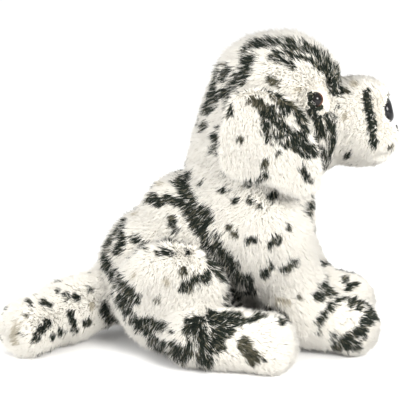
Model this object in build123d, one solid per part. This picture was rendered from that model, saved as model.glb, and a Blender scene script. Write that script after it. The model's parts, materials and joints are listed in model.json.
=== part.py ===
from build123d import *
import math
import os

# Seated plush dog, 12 inch class. Millimetres, +X forward, +Z up, Y = 0 is the
# middle plane. Every soft panel is pile fabric: its thickness includes the pile.

os.makedirs("parts", exist_ok=True)

# ---- driving dimensions -------------------------------------------------
X0 = -2.96            # shift that centres the box in X
PILE = 6.0            # panel thickness, backing and pile together
GAP = 0.3             # panel to stuffing
RUN = 1.0             # clearance between two bodies
FLOOR = 0.0

HEAD_C = (70.0, 0.0, 226.0)      # also the neck pivot
HEAD_R = 68.0
MUZ_A = ((118.0, 0.0, 208.0), 42.0)
MUZ_B = ((136.0, 0.0, 212.0), 37.5)
LIPS = ((156.8, 0.0, 197.5), 25.5)
GUSSET_HALF = 16.0

RUMP = ((-33.0, 0.0, 65.0), 67.0)
CHEST = ((45.0, 0.0, 118.0), 62.0)
NECK = ((48.0, 0.0, 150.0), 57.0)
BELLY_HALF = 20.0

SHOULDER = (60.0, 39.0, 106.0)
SHOULDER_R = 42.0
ELBOW = (92.0, 39.0, 52.0)
ELBOW_R = 34.0
LEG_FLAT = 0.72                   # front leg is flattened across Y
WRIST = ((96.0, 39.0, 38.0), 28.0)
PAW = ((141.0, 39.0, 26.5), 27.0)

HIP = (-20.0, 66.0, 58.0)
THIGH_R = 51.0
THIGH_HALF = 24.0
HEEL = ((8.0, 91.0, 26.5), 27.0)
TOE = ((66.0, 94.0, 25.5), 26.0)

TAIL_A = ((-88.0, -2.0, 41.0), 28.0)
TAIL_B = ((-122.0, -30.0, 31.0), 28.0)
TAIL_B2 = ((-120.0, -27.5, 31.5), 26.6)   # start of the second run, just inside the first
TAIL_C = ((-151.0, -67.0, 26.5), 27.0)

EAR_IN = 69.2                     # inner face of the ear from the middle plane
EAR_LAYER = 5.8                   # one ear panel
EAR_PTS = [(36, 243), (50, 249), (68, 248), (84, 240), (96, 230), (103, 212),
           (109, 196), (112, 178), (109, 162), (94, 156), (76, 162), (62, 167),
           (46, 166), (30, 174), (23, 190), (24, 210), (29, 230)]

EYE_C = (106.8, 49.5, 237.0)
EYE_D = (0.74, 0.66, 0.14)
EYE_R = 6.75
NOSE_ANGLE = 13.6                 # degrees above +X, about the muzzle's end
NOSE_OVAL = (12.2, 12.0)          # half width, half height
NOSE_T = 10.0
DISC_R = 24.0                     # neck closing disc


def pt(c, side=1):
    return Vector(c[0] + X0, c[1] * side, c[2])


def part(shape):
    """Any boolean result as one Part."""
    out = []
    todo = list(shape) if isinstance(shape, (list, tuple)) else [shape]
    for s in todo:
        out += s.solids()
    return Part() + out


def join(*shapes):
    r = Part()
    for s in shapes:
        r = part(r + part(s))
    return r


def cut(a, *tools):
    a = part(a)
    for t in tools:
        a = part(a - part(t))
    return a


def meet(a, b):
    return part(part(a) & part(b))


def ball(c, r, side=1):
    return Pos(*tuple(pt(c, side))) * Sphere(r)


def taper(a, ra, b, rb, side=1):
    """Round-ended cone: two balls and the cone that touches both, as one revolve."""
    pa, pb = pt(a, side), pt(b, side)
    v = pb - pa
    d = v.length
    s = (ra - rb) / d
    c = math.sqrt(1 - s * s)
    t = math.asin(s)
    m1, m2 = (t - math.pi / 2) / 2, (t + math.pi / 2) / 2
    low = ThreePointArc((0, -ra), (ra * math.cos(m1), ra * math.sin(m1)), (ra * c, ra * s))
    flank = Line((ra * c, ra * s), (rb * c, d + rb * s))
    high = ThreePointArc((rb * c, d + rb * s), (rb * math.cos(m2), d + rb * math.sin(m2)), (0, d + rb))
    back = Line((0, d + rb), (0, -ra))
    solid = revolve(Plane.XZ * make_face([low, flank, high, back]), Axis.Z)
    return Plane(origin=pa, z_dir=v.normalized()) * solid


def block(x0, x1, y0, y1, z0, z1):
    return Pos((x0 + x1) / 2, (y0 + y1) / 2, (z0 + z1) / 2) * Box(x1 - x0, y1 - y0, z1 - z0)


def one(shape):
    """The largest solid of a boolean result."""
    return max(shape.solids(), key=lambda s: s.volume)


BIG = 600.0
ABOVE = block(-BIG, BIG, -BIG, BIG, FLOOR, BIG)


def above(shape):
    return meet(shape, ABOVE)


def save(name, shape, colour):
    s = one(part(shape))
    s.label = name
    s.color = Color(*colour)
    export_step(s, f"parts/{name}.step")
    return s


PLUSH = (0.96, 0.95, 0.91)
FILL = (0.93, 0.93, 0.95)
DARK = (0.03, 0.03, 0.03)


# ---- head ---------------------------------------------------------------
def head_form(inset):
    return join(ball(HEAD_C, HEAD_R - inset), taper(MUZ_A[0], MUZ_A[1] - inset, MUZ_B[0], MUZ_B[1] - inset),
                ball(LIPS[0], LIPS[1] - inset))


def eye_plane(side):
    d = Vector(EYE_D[0], EYE_D[1] * side, EYE_D[2]).normalized()
    return Plane(origin=pt(EYE_C, side), z_dir=d)


def nose_plane():
    a = math.radians(NOSE_ANGLE)
    c = pt(MUZ_B[0])
    d = Vector(math.cos(a), 0, math.sin(a))
    return Plane(origin=(c + d * 32.0), x_dir=(0, 1, 0), z_dir=d)


def eye_solid(side):
    # domed button with a ribbed shank, here a plain one
    p = eye_plane(side)
    dome = meet(Sphere(EYE_R), Pos(0, 0, EYE_R / 2) * Box(20, 20, EYE_R))
    base = Pos(0, 0, -0.6) * Cylinder(EYE_R, 1.2)
    shank = Pos(0, 0, -7.5) * Cylinder(2.0, 13.0)
    return p * join(dome, base, shank)


def eye_washer(side):
    p = eye_plane(side)
    return p * (Pos(0, 0, -8.0) * cut(Cylinder(7.5, 1.8), Cylinder(2.1, 3.0)))


def eye_room(side):
    p = eye_plane(side)
    return p * join(Pos(0, 0, 8.6) * Cylinder(EYE_R + 0.25, 20.0), Pos(0, 0, -8.0) * Cylinder(7.8, 2.4),
                    Pos(0, 0, -7.5) * Cylinder(2.25, 13.6))


def nose_solid():
    p = nose_plane()
    oval = Ellipse(*NOSE_OVAL)
    body = extrude(oval, NOSE_T)
    body = fillet(body.faces().sort_by(Axis.Z)[-1].edges(), 6.2)
    return p * join(Pos(0, 0, 0.6) * body, Pos(0, 0, -6.0) * Cylinder(2.2, 13.4))


def nose_washer():
    return nose_plane() * (Pos(0, 0, -9.0) * cut(Cylinder(8.0, 1.8), Cylinder(2.3, 3.0)))


def nose_room():
    return nose_plane() * join(Pos(0, 0, 0.3) * extrude(Ellipse(NOSE_OVAL[0] + 0.25, NOSE_OVAL[1] + 0.25), 30.0),
                               Pos(0, 0, -9.0) * Cylinder(8.3, 2.4), Pos(0, 0, -6.3) * Cylinder(2.45, 14.0))


rooms = [eye_room(1), eye_room(-1), nose_room()]
head_shell = cut(head_form(0), head_form(PILE), *rooms)
head_fill = cut(head_form(PILE + GAP), *rooms)
zc = MUZ_B[0][2]
gusset_box = block(-BIG, BIG, -GUSSET_HALF, GUSSET_HALF, zc, BIG)
half_l = block(-BIG, BIG, 0, BIG, -BIG, BIG)
half_r = block(-BIG, BIG, -BIG, 0, -BIG, BIG)
save("head_gusset", meet(head_shell, gusset_box), PLUSH)
head_rest = cut(head_shell, gusset_box)
save("head_side_left", meet(head_rest, half_l), PLUSH)
save("head_side_right", meet(head_rest, half_r), PLUSH)
save("head_stuffing", head_fill, FILL)
for side, tag in ((1, "left"), (-1, "right")):
    save(f"eye_{tag}", eye_solid(side), DARK)
    save(f"eye_washer_{tag}", eye_washer(side), FILL)
save("nose", nose_solid(), DARK)
save("nose_washer", nose_washer(), FILL)

# mouth stitch: thread laid on the pile of the lips, from the nose down to the chin
mouth_plane = Plane(origin=pt(LIPS[0]), x_dir=(1, 0, 0), z_dir=(0, -1, 0))
ring = revolve(Plane.XZ * Pos(LIPS[1] + 0.9, 0) * Circle(0.7), Axis.Z, 46.0)
save("mouth_stitch", mouth_plane * (Rot(0, 0, -25.0) * ring), DARK)


# ---- ears ---------------------------------------------------------------
def ear_outline(grow):
    cx = sum(p[0] for p in EAR_PTS) / len(EAR_PTS)
    cz = sum(p[1] for p in EAR_PTS) / len(EAR_PTS)
    pts = []
    for x, z in EAR_PTS:
        r = math.hypot(x - cx, z - cz)
        k = (r + grow) / r
        pts.append((cx + (x - cx) * k + X0, cz + (z - cz) * k))
    return pts


def ear_layer(y0, y1, side, grow):
    edge = Spline(*[(x, z) for x, z in ear_outline(grow)], periodic=True)
    face = make_face(edge)
    # the XZ workplane looks along +Y, so its local z is -Y
    solid = extrude(Plane.XZ * face, -(y1 - y0))
    bb = solid.bounding_box()
    want = y0 if side > 0 else -y1
    return Pos(0, want - bb.min.Y, 0) * solid


for side, tag in ((1, "left"), (-1, "right")):
    save(f"ear_inner_{tag}", ear_layer(EAR_IN, EAR_IN + EAR_LAYER, side, -2.5), PLUSH)
    save(f"ear_outer_{tag}", ear_layer(EAR_IN + EAR_LAYER, EAR_IN + 2 * EAR_LAYER, side, 0.0), PLUSH)


# ---- front legs ---------------------------------------------------------
def front_leg_form(inset, side):
    k = LEG_FLAT
    a = (SHOULDER[0], 0, SHOULDER[2])
    b = (ELBOW[0], 0, ELBOW[2])
    upper = taper(a, SHOULDER_R - inset, b, ELBOW_R - inset)
    kk = (k * SHOULDER_R - inset) / (SHOULDER_R - inset)
    upper = scale(upper, by=(1, kk, 1))
    upper = Pos(0, SHOULDER[1] * side, 0) * upper
    lower = taper(WRIST[0], WRIST[1] - inset, PAW[0], PAW[1] - inset, side)
    return join(upper, lower)


def front_leg_room(side):
    """The space the leg sweeps inside the torso, cut straight through in Y."""
    y_in = SHOULDER[1] - k_in
    cx, cz = SHOULDER[0] + X0, SHOULDER[2]
    reach = 170.0
    a0, a1 = math.radians(-100.0), math.radians(2.0)
    n = 8
    pts = [(cx + reach * math.cos(a0 + (a1 - a0) * i / n), cz + reach * math.sin(a0 + (a1 - a0) * i / n))
           for i in range(n + 1)]
    off = SHOULDER_R + RUN
    pts = [(cx - off, cz), (cx - off * 0.98, cz - 40), (cx - off * 0.55, cz - 105)] + pts[1:] + [(cx + reach, cz + 8)]
    poly = make_face(Polyline(*pts, close=True))
    wedge = extrude(Plane.XZ * poly, -100.0)
    disc = Plane(origin=(cx, 0, cz), z_dir=(0, 1, 0)) * Cylinder(off, 100.0, align=(Align.CENTER, Align.CENTER, Align.MIN))
    both = Pos(0, y_in, 0) * join(Pos(0, -wedge.bounding_box().min.Y, 0) * wedge, disc)
    if side > 0:
        return both
    return mirror(both, about=Plane.XZ)


k_in = LEG_FLAT * SHOULDER_R + RUN
for side, tag in ((1, "left"), (-1, "right")):
    shell = above(cut(front_leg_form(0, side), front_leg_form(PILE, side)))
    mid = SHOULDER[1] * side
    high_half = block(-BIG, BIG, mid, BIG, -BIG, BIG)
    low_half = block(-BIG, BIG, -BIG, mid, -BIG, BIG)
    outer_half, inner_half = (high_half, low_half) if side > 0 else (low_half, high_half)
    save(f"front_leg_outer_{tag}", meet(shell, outer_half), PLUSH)
    save(f"front_leg_inner_{tag}", meet(shell, inner_half), PLUSH)
    save(f"front_leg_stuffing_{tag}", front_leg_form(PILE + GAP, side), FILL)


# ---- hind legs ----------------------------------------------------------
def cushion(a, b):
    """Disc of radius a and half thickness b with a fully round rim, turned about Y."""
    low = Line((0, -b), (a - b, -b))
    rim = ThreePointArc((a - b, -b), (a, 0), (a - b, b))
    top = Line((a - b, b), (0, b))
    back = Line((0, b), (0, -b))
    return Rot(90, 0, 0) * revolve(Plane.XZ * make_face([low, rim, top, back]), Axis.Z)


def hind_leg_form(inset, side):
    disc = Pos(*tuple(pt(HIP, side))) * cushion(THIGH_R - inset, THIGH_HALF - inset)
    foot = taper(HEEL[0], HEEL[1] - inset, TOE[0], TOE[1] - inset, side)
    return join(disc, foot)


def hip_room(side):
    y_in = HIP[1] - THIGH_HALF - RUN
    cyl = Plane(origin=(HIP[0] + X0, y_in, HIP[2]), z_dir=(0, 1, 0)) * Cylinder(
        THIGH_R + RUN, 100.0, align=(Align.CENTER, Align.CENTER, Align.MIN))
    return cyl if side > 0 else mirror(cyl, about=Plane.XZ)


for side, tag in ((1, "left"), (-1, "right")):
    shell = above(cut(hind_leg_form(0, side), hind_leg_form(PILE, side)))
    y_mid = 78.0 * side
    outer_half = block(-BIG, BIG, y_mid, BIG, -BIG, BIG) if side > 0 else block(-BIG, BIG, -BIG, y_mid, -BIG, BIG)
    save(f"hind_leg_outer_{tag}", meet(shell, outer_half), PLUSH)
    save(f"hind_leg_inner_{tag}", cut(shell, outer_half), PLUSH)
    save(f"hind_leg_stuffing_{tag}", hind_leg_form(PILE + GAP, side), FILL)


# ---- tail ---------------------------------------------------------------
def tail_form(inset):
    return join(taper(TAIL_A[0], TAIL_A[1] - inset, TAIL_B[0], TAIL_B[1] - inset),
                taper(TAIL_B2[0], TAIL_B2[1] - inset, TAIL_C[0], TAIL_C[1] - inset))


tail_shell = above(cut(tail_form(0), tail_form(PILE)))
# the seam runs along the top and bottom of the tail, on a slanted plane
ta, tc = pt(TAIL_A[0]), pt(TAIL_C[0])
tv = Vector(tc.X - ta.X, tc.Y - ta.Y, 0).normalized()
seam = Plane(origin=(ta.X, ta.Y - 3, 0), x_dir=tv, z_dir=(-tv.Y, tv.X, 0))
side_box = seam * Box(BIG, BIG, 300.0, align=(Align.CENTER, Align.CENTER, Align.MIN))
save("tail_right", meet(tail_shell, side_box), PLUSH)
save("tail_left", cut(tail_shell, side_box), PLUSH)
save("tail_stuffing", tail_form(PILE + GAP), FILL)

WAG = (-35.0, 15.0)
tail_rooms = None
steps = 5
for i in range(steps):
    ang = WAG[0] + (WAG[1] - WAG[0]) * i / (steps - 1)
    swing = (Pos(ta.X, ta.Y, 0) * Rot(0, 0, ang) * Pos(-ta.X, -ta.Y, 0)
             * taper(TAIL_A[0], TAIL_A[1] + 1.4, TAIL_B[0], TAIL_B[1] + 1.4))
    tail_rooms = swing if tail_rooms is None else join(tail_rooms, swing)


# ---- torso --------------------------------------------------------------
def torso_form(inset):
    return join(taper(RUMP[0], RUMP[1] - inset, CHEST[0], CHEST[1] - inset),
                taper(CHEST[0], CHEST[1] - inset, NECK[0], NECK[1] - inset))


hc = pt(HEAD_C)
neck_room = join(ball(HEAD_C, HEAD_R + RUN),
                 meet(ball(HEAD_C, HEAD_R + 4.4), Pos(hc.X, 0, hc.Z - 60) * Cylinder(DISC_R + 1.2, 120.0)))
chin_room = block(86 + X0, BIG, -BIG, BIG, 155.0, BIG)
torso_cut = join(neck_room, chin_room)


def carve(shape):
    shape = cut(shape, torso_cut)
    for side in (1, -1):
        shape = cut(shape, front_leg_room(side), hip_room(side))
    return above(cut(shape, tail_rooms))


PELLET_C = (-30.0, 0.0, 34.0)
PELLET_R = 25.0
torso_skin = carve(cut(torso_form(0), torso_form(PILE)))
belly_box = block(-40 + X0, BIG, -BELLY_HALF, BELLY_HALF, -BIG, 92.0)
save("belly_panel", meet(torso_skin, belly_box), PLUSH)
torso_rest = cut(torso_skin, belly_box)
save("torso_side_left", meet(torso_rest, half_l), PLUSH)
save("torso_side_right", meet(torso_rest, half_r), PLUSH)
save("torso_stuffing", carve(cut(torso_form(PILE + GAP), ball(PELLET_C, PELLET_R + GAP))), FILL)
save("bean_pouch", cut(ball(PELLET_C, PELLET_R), ball(PELLET_C, PELLET_R - 0.8)), FILL)
save("bean_fill", ball(PELLET_C, PELLET_R - 1.0), FILL)

# ---- neck ---------------------------------------------------------------
disc_shell = cut(ball(HEAD_C, HEAD_R + 3.6), ball(HEAD_C, HEAD_R + 0.8))
save("neck_disc", meet(disc_shell, Pos(hc.X, 0, hc.Z - 60) * Cylinder(DISC_R, 120.0)), FILL)
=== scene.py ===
import json
import math

import bpy
import numpy as np
from mathutils import Matrix, Vector
from mathutils.kdtree import KDTree

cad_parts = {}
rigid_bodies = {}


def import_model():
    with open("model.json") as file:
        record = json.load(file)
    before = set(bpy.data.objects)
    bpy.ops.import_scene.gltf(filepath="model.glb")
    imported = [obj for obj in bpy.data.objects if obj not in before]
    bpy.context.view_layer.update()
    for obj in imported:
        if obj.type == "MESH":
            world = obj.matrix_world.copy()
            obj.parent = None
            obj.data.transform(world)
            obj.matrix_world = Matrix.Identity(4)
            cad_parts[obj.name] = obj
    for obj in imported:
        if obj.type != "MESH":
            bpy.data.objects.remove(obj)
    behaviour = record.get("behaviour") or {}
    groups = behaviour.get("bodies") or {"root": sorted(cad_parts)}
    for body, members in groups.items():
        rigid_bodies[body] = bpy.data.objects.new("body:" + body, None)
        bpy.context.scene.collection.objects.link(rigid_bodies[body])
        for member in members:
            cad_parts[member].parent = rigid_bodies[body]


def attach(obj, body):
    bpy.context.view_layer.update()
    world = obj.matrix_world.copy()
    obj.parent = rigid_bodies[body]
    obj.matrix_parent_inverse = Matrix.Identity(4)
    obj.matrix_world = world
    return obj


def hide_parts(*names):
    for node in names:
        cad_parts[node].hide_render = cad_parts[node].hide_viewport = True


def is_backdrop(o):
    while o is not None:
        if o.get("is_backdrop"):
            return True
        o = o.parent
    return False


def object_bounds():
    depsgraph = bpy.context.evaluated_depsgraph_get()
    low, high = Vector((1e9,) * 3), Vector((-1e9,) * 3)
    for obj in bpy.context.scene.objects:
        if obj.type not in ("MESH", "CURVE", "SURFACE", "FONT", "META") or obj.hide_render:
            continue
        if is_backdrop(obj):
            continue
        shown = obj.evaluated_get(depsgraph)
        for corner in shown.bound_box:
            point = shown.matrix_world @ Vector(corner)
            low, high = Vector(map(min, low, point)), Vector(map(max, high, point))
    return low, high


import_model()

BOUNDS_AT_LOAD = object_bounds()
rng = np.random.default_rng(20260)

# ------------------------------------------------------------------ sizes
# millimetres, in the same numbers as the CAD; everything is scaled to metres last
X0 = -2.96
STEP = 2.6
DENSITY = 2.0      # strands per mm2
PIECE_TRIS = 186000


def V(x, y, z):
    return np.array([x + X0, y, z], float)


# ------------------------------------------------------------------ distance fields
def sph(P, c, r):
    return np.linalg.norm(P - c, axis=-1) - r


def ell(P, c, r):
    q = P - c
    r = np.asarray(r, float)
    k0 = np.linalg.norm(q / r, axis=-1)
    k1 = np.linalg.norm(q / (r * r), axis=-1) + 1e-9
    return k0 * (k0 - 1.0) / k1


def rod(P, a, ra, b, rb, flat=1.0):
    """Round cone; flat < 1 squeezes it across Y."""
    q = P.copy()
    a = a.copy(); b = b.copy()
    if flat != 1.0:
        ym = (a[1] + b[1]) / 2
        q[..., 1] = ym + (q[..., 1] - ym) / flat
    pa = q - a
    ba = b - a
    h = np.clip((pa @ ba) / (ba @ ba), 0, 1)
    d = np.linalg.norm(pa - h[..., None] * ba, axis=-1) - (ra + (rb - ra) * h)
    if flat != 1.0:
        d = d * (0.5 + 0.5 * flat)
    return d


def cushion(P, c, a, b):
    """Round cushion lying across Y: radius a, half thickness b, full rim."""
    q = P - c
    r = np.hypot(q[..., 0], q[..., 2])
    return np.hypot(np.maximum(r - (a - b), 0), q[..., 1]) - b


def smin(a, b, k):
    h = np.maximum(k - np.abs(a - b), 0.0) / k
    return np.minimum(a, b) - h * h * k * 0.25


def smax(a, b, k):
    return -smin(-a, -b, k)


# smooth value noise, the same on every run
_tab = np.random.default_rng(7).random((32, 32, 32))


def vnoise(P, scale, shift=0.0):
    q = P / scale + 100.0 + shift
    i = np.floor(q).astype(int)
    f = q - i
    f = f * f * (3 - 2 * f)
    i0 = i % 32
    i1 = (i + 1) % 32
    out = 0
    for dx in (0, 1):
        wx = f[..., 0] if dx else 1 - f[..., 0]
        ix = i1[..., 0] if dx else i0[..., 0]
        for dy in (0, 1):
            wy = f[..., 1] if dy else 1 - f[..., 1]
            iy = i1[..., 1] if dy else i0[..., 1]
            for dz in (0, 1):
                wz = f[..., 2] if dz else 1 - f[..., 2]
                iz = i1[..., 2] if dz else i0[..., 2]
                out = out + wx * wy * wz * _tab[ix, iy, iz]
    return out * 2 - 1


def lumps(P, amp, size, shift=0.0):
    return amp * (0.7 * vnoise(P, size, shift) + 0.3 * vnoise(P, size * 0.45, shift + 13))


# ------------------------------------------------------------------ body forms (outer size)
def f_head(P):
    d = ell(P, V(72, 0, 230), (60.5, 66, 59))
    d = smin(d, ell(P, V(84, 0, 208), (52, 62, 50)), 12)           # cheeks
    d = smin(d, ell(P, V(42, 0, 200), (39.5, 54, 45)), 14)           # nape
    muz = rod(P, V(110, 0, 208), 41, V(134, 0, 211), 36.5)
    muz = smin(muz, ell(P, V(149.5, 0, 231), (25, 21, 18.8)), 8)   # bridge up to the nose
    lips = ell(P, V(150, 0, 197), (32, 32, 26))
    for s in (1, -1):                                              # full upper lips
        lips = smin(lips, ell(P, V(154.5, s * 13, 196.5), (28, 20, 21.5)), 8)
    muz = smin(muz, lips, 10)
    d = smin(d, muz, 8)
    for s in (1, -1):                                              # eye hollows
        d = smax(d, -sph(P, V(120, s * 55, 240), 10), 5)
    d = smax(d, -ell(P, V(179, 0, 217.5), (13, 13.5, 14.5)), 4)        # seat of the nose
    # soft cleft below the nose and the line of the mouth
    cleft = rod(P, V(184, 0, 207), 2.2, V(187, 0, 190), 1.6)
    d = smax(d, -cleft, 5)
    for s in (1, -1):
        d = smax(d, -rod(P, V(186, 0, 188), 1.6, V(158, s * 36, 183), 1.6), 4)
    return d


def f_torso(P):
    d = rod(P, V(-32, 0, 64.5), 63.5, V(40, 0, 116), 62)
    d = smin(d, rod(P, V(44, 0, 116), 61, V(48, 0, 156), 56), 20)
    d = smin(d, ell(P, V(-12, 0, 126), (38, 46, 32)), 12)          # withers
    d = smin(d, ell(P, V(40, 0, 172), (47, 50, 40)), 16)           # ruff under the nape
    return d


def f_front(P, s):
    sh = ell(P, V(60, s * 38, 108), (42, 30, 44))
    arm = rod(P, V(68, s * 38, 96), 38, V(92, s * 39, 50), 33, 0.74)
    paw = smin(rod(P, V(104, s * 39, 34), 27, V(141, s * 39, 27), 26.5), ell(P, V(146, s * 39, 24), (22, 27, 24)), 8)
    return smin(smin(sh, arm, 16), paw, 14)


def f_hind(P, s):
    th = smin(ell(P, V(-20, s * 64, 58), (51, 28, 51)), cushion(P, V(-20, s * 65, 58), 50, 24), 6)
    foot = rod(P, V(2, s * 88, 29), 27.5, V(66, s * 94, 26.5), 26.5)
    foot = smin(foot, ell(P, V(72, s * 94, 25), (23, 26, 25)), 8)
    return smin(th, foot, 16)


def f_tail(P):
    d = rod(P, V(-84, -1, 40), 27, V(-122, -30, 30), 25)
    return smin(d, rod(P, V(-122, -30, 30), 25, V(-151, -67, 26), 25), 14)


EAR_PTS = np.array([(36, 243), (50, 249), (68, 248), (84, 240), (96, 230), (103, 212),
                    (109, 196), (113, 178), (110, 162), (96, 156), (80, 161), (66, 168),
                    (48, 167), (30, 174), (23, 190), (24, 210), (29, 230)], float)


def smooth_loop(pts, n=10):
    out = []
    m = len(pts)
    for i in range(m):
        p0, p1, p2, p3 = (pts[(i + k) % m] for k in (-1, 0, 1, 2))
        for t in np.arange(n) / n:
            out.append(0.5 * ((2 * p1) + (-p0 + p2) * t + (2 * p0 - 5 * p1 + 4 * p2 - p3) * t * t
                              + (-p0 + 3 * p1 - 3 * p2 + p3) * t ** 3))
    return np.array(out)


EAR_LOOP = smooth_loop(EAR_PTS, 5) + np.array([X0, 0])


def poly_sd(Q, loop):
    """Signed distance to a closed loop in the plane."""
    d = np.full(len(Q), 1e18)
    inside = np.zeros(len(Q), bool)
    m = len(loop)
    for i in range(m):
        a, b = loop[i], loop[(i + 1) % m]
        e = b - a
        w = Q - a
        t = np.clip((w @ e) / (e @ e), 0, 1)
        v = w - t[:, None] * e
        d = np.minimum(d, (v ** 2).sum(1))
        c = ((a[1] <= Q[:, 1]) & (b[1] > Q[:, 1])) | ((b[1] <= Q[:, 1]) & (a[1] > Q[:, 1]))
        if abs(e[1]) > 1e-9:
            xi = a[0] + (Q[:, 1] - a[1]) / e[1] * e[0]
            inside ^= c & (Q[:, 0] < xi)
    d = np.sqrt(d)
    return np.where(inside, -d, d)


def ear_mid(X, Z, s):
    """|Y| of the ear's middle surface: it leaves the head at the fold and hangs."""
    t = np.clip((250 - Z) / 94.0, 0, 1)
    base = 66.0 + 8.5 * np.sin(np.minimum(t * 2.2, 1.0) * math.pi / 2) + 2.5 * t
    cup = -5.0 * ((X - (64 + X0)) / 45.0) ** 2 * (0.4 + t)
    wav = 2.6 * np.sin((X + 0.6 * Z) / 13.0 + (0.7 if s > 0 else 0.0)) * t ** 1.5
    return base + cup + wav


def f_ear(P, s):
    Y = P[..., 1] * s
    m = ear_mid(P[..., 0], P[..., 2], s)
    slab = np.abs(Y - m) * 0.93 - 5.6
    out = poly_sd(P[..., [0, 2]].reshape(-1, 2), EAR_LOOP).reshape(slab.shape) + 4.0
    a = np.maximum(slab + 4.0, 0)
    b = np.maximum(out + 0.0, 0)
    return np.minimum(np.maximum(slab + 4.0, out), 0) + np.hypot(a, b) - 4.0


FORMS = {
    "torso": (f_torso, (-110, 120, -75, 75, -8, 215)),
    "head": (f_head, (-8, 195, -76, 76, 150, 302)),
    "front_leg_left": (lambda P: f_front(P, 1), (8, 180, 0, 78, -8, 160)),
    "front_leg_right": (lambda P: f_front(P, -1), (8, 180, -78, 0, -8, 160)),
    "hind_leg_left": (lambda P: f_hind(P, 1), (-82, 106, 30, 126, -8, 118)),
    "hind_leg_right": (lambda P: f_hind(P, -1), (-82, 106, -126, -30, -8, 118)),
    "tail": (f_tail, (-190, -48, -104, 36, -8, 80)),
    "ear_left": (lambda P: f_ear(P, 1), (10, 122, 52, 92, 146, 258)),
    "ear_right": (lambda P: f_ear(P, -1), (10, 122, -92, -52, 146, 258)),
}
INSET = {b: 3.9 for b in FORMS}
INSET["head"] = 2.2
INSET["tail"] = 2.5
INSET["ear_left"] = INSET["ear_right"] = 2.6

# which neighbours a body's surface flares into, and how softly
FLARE = {
    "torso": [("head", 16), ("front_leg_left", 14), ("front_leg_right", 14), ("hind_leg_left", 5),
              ("hind_leg_right", 5), ("tail", 12)],
    "head": [("torso", 16)],
    "front_leg_left": [("torso", 14)],
    "front_leg_right": [("torso", 14)],
    "hind_leg_left": [("torso", 5)],
    "hind_leg_right": [("torso", 5)],
    "tail": [("torso", 12)],
    "ear_left": [],
    "ear_right": [],
}


def skin(body, P):
    """The backing surface of one body alone."""
    f = FORMS[body][0](P) + INSET[body]
    shift = sum(map(ord, body)) % 17
    if body.startswith("ear"):
        return f + lumps(P, 0.6, 14, shift)
    f = f + lumps(P, 1.5, 30, shift)
    return np.maximum(f, -(P[..., 2] - 2.2))      # flat where it sits


def skin_joined(body, P):
    f = skin(body, P)
    for other, k in FLARE[body]:
        f = smin(f, skin(other, P), k)
    return f


def grad(fn, P, e=0.35):
    g = np.empty_like(P)
    for a in range(3):
        d = np.zeros(3); d[a] = e
        g[:, a] = fn(P + d) - fn(P - d)
    n = np.linalg.norm(g, axis=1)
    return g / np.maximum(n, 1e-9)[:, None], n / (2 * e)


# ------------------------------------------------------------------ surface nets
def nets(fn, box, h):
    x0, x1, y0, y1, z0, z1 = box
    x0 += X0; x1 += X0
    xs = np.arange(x0, x1 + h, h); ys = np.arange(y0, y1 + h, h); zs = np.arange(z0, z1 + h, h)
    G = np.stack(np.meshgrid(xs, ys, zs, indexing="ij"), -1)
    D = fn(G.reshape(-1, 3)).reshape(G.shape[:3])
    S = D < 0
    nx, ny, nz = D.shape
    acc = np.zeros((nx - 1, ny - 1, nz - 1, 3)); cnt = np.zeros((nx - 1, ny - 1, nz - 1))
    corners = [(i, j, k) for i in (0, 1) for j in (0, 1) for k in (0, 1)]
    for a in range(8):
        for b in range(a + 1, 8):
            ca, cb = corners[a], corners[b]
            if sum(abs(p - q) for p, q in zip(ca, cb)) != 1:
                continue
            sa = (slice(ca[0], nx - 1 + ca[0]), slice(ca[1], ny - 1 + ca[1]), slice(ca[2], nz - 1 + ca[2]))
            sb = (slice(cb[0], nx - 1 + cb[0]), slice(cb[1], ny - 1 + cb[1]), slice(cb[2], nz - 1 + cb[2]))
            m = S[sa] != S[sb]
            da, db = D[sa], D[sb]
            t = np.where(m, da / np.where(m, da - db, 1), 0)
            pt = G[sa] + t[..., None] * (G[sb] - G[sa])
            acc += np.where(m[..., None], pt, 0); cnt += m
    act = cnt > 0
    idx = -np.ones(act.shape, int)
    idx[act] = np.arange(act.sum())
    verts = acc[act] / cnt[act][:, None]
    quads = []
    for ax in range(3):
        o1, o2 = [(1, 2), (2, 0), (0, 1)][ax]
        sl = [slice(1, -1)] * 3
        sl[ax] = slice(0, -1)
        lo = S[tuple(sl)]
        sl2 = list(sl); sl2[ax] = slice(1, None)
        hi = S[tuple(sl2)]
        m = lo != hi
        I = np.argwhere(m)
        I[:, [o1, o2]] += 1
        flip = hi[m]
        d1 = np.zeros(3, int); d1[o1] = 1
        d2 = np.zeros(3, int); d2[o2] = 1

        def at(J):
            return idx[J[:, 0], J[:, 1], J[:, 2]]
        q = np.stack([at(I), at(I - d1), at(I - d1 - d2), at(I - d2)], 1)
        q[flip] = q[flip][:, ::-1]
        quads.append(q)
    Q = np.concatenate(quads)
    Q = Q[(Q >= 0).all(1)]
    T = np.concatenate([Q[:, [0, 1, 2]], Q[:, [0, 2, 3]]])
    return verts, T


def outward(fn, Vt, T):
    c = Vt[T].mean(1)
    n = np.cross(Vt[T[:, 1]] - Vt[T[:, 0]], Vt[T[:, 2]] - Vt[T[:, 0]])
    g, _ = grad(fn, c[:: max(1, len(c) // 500)])
    return (n[:: max(1, len(c) // 500)] * g).sum(1).mean() > 0


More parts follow.
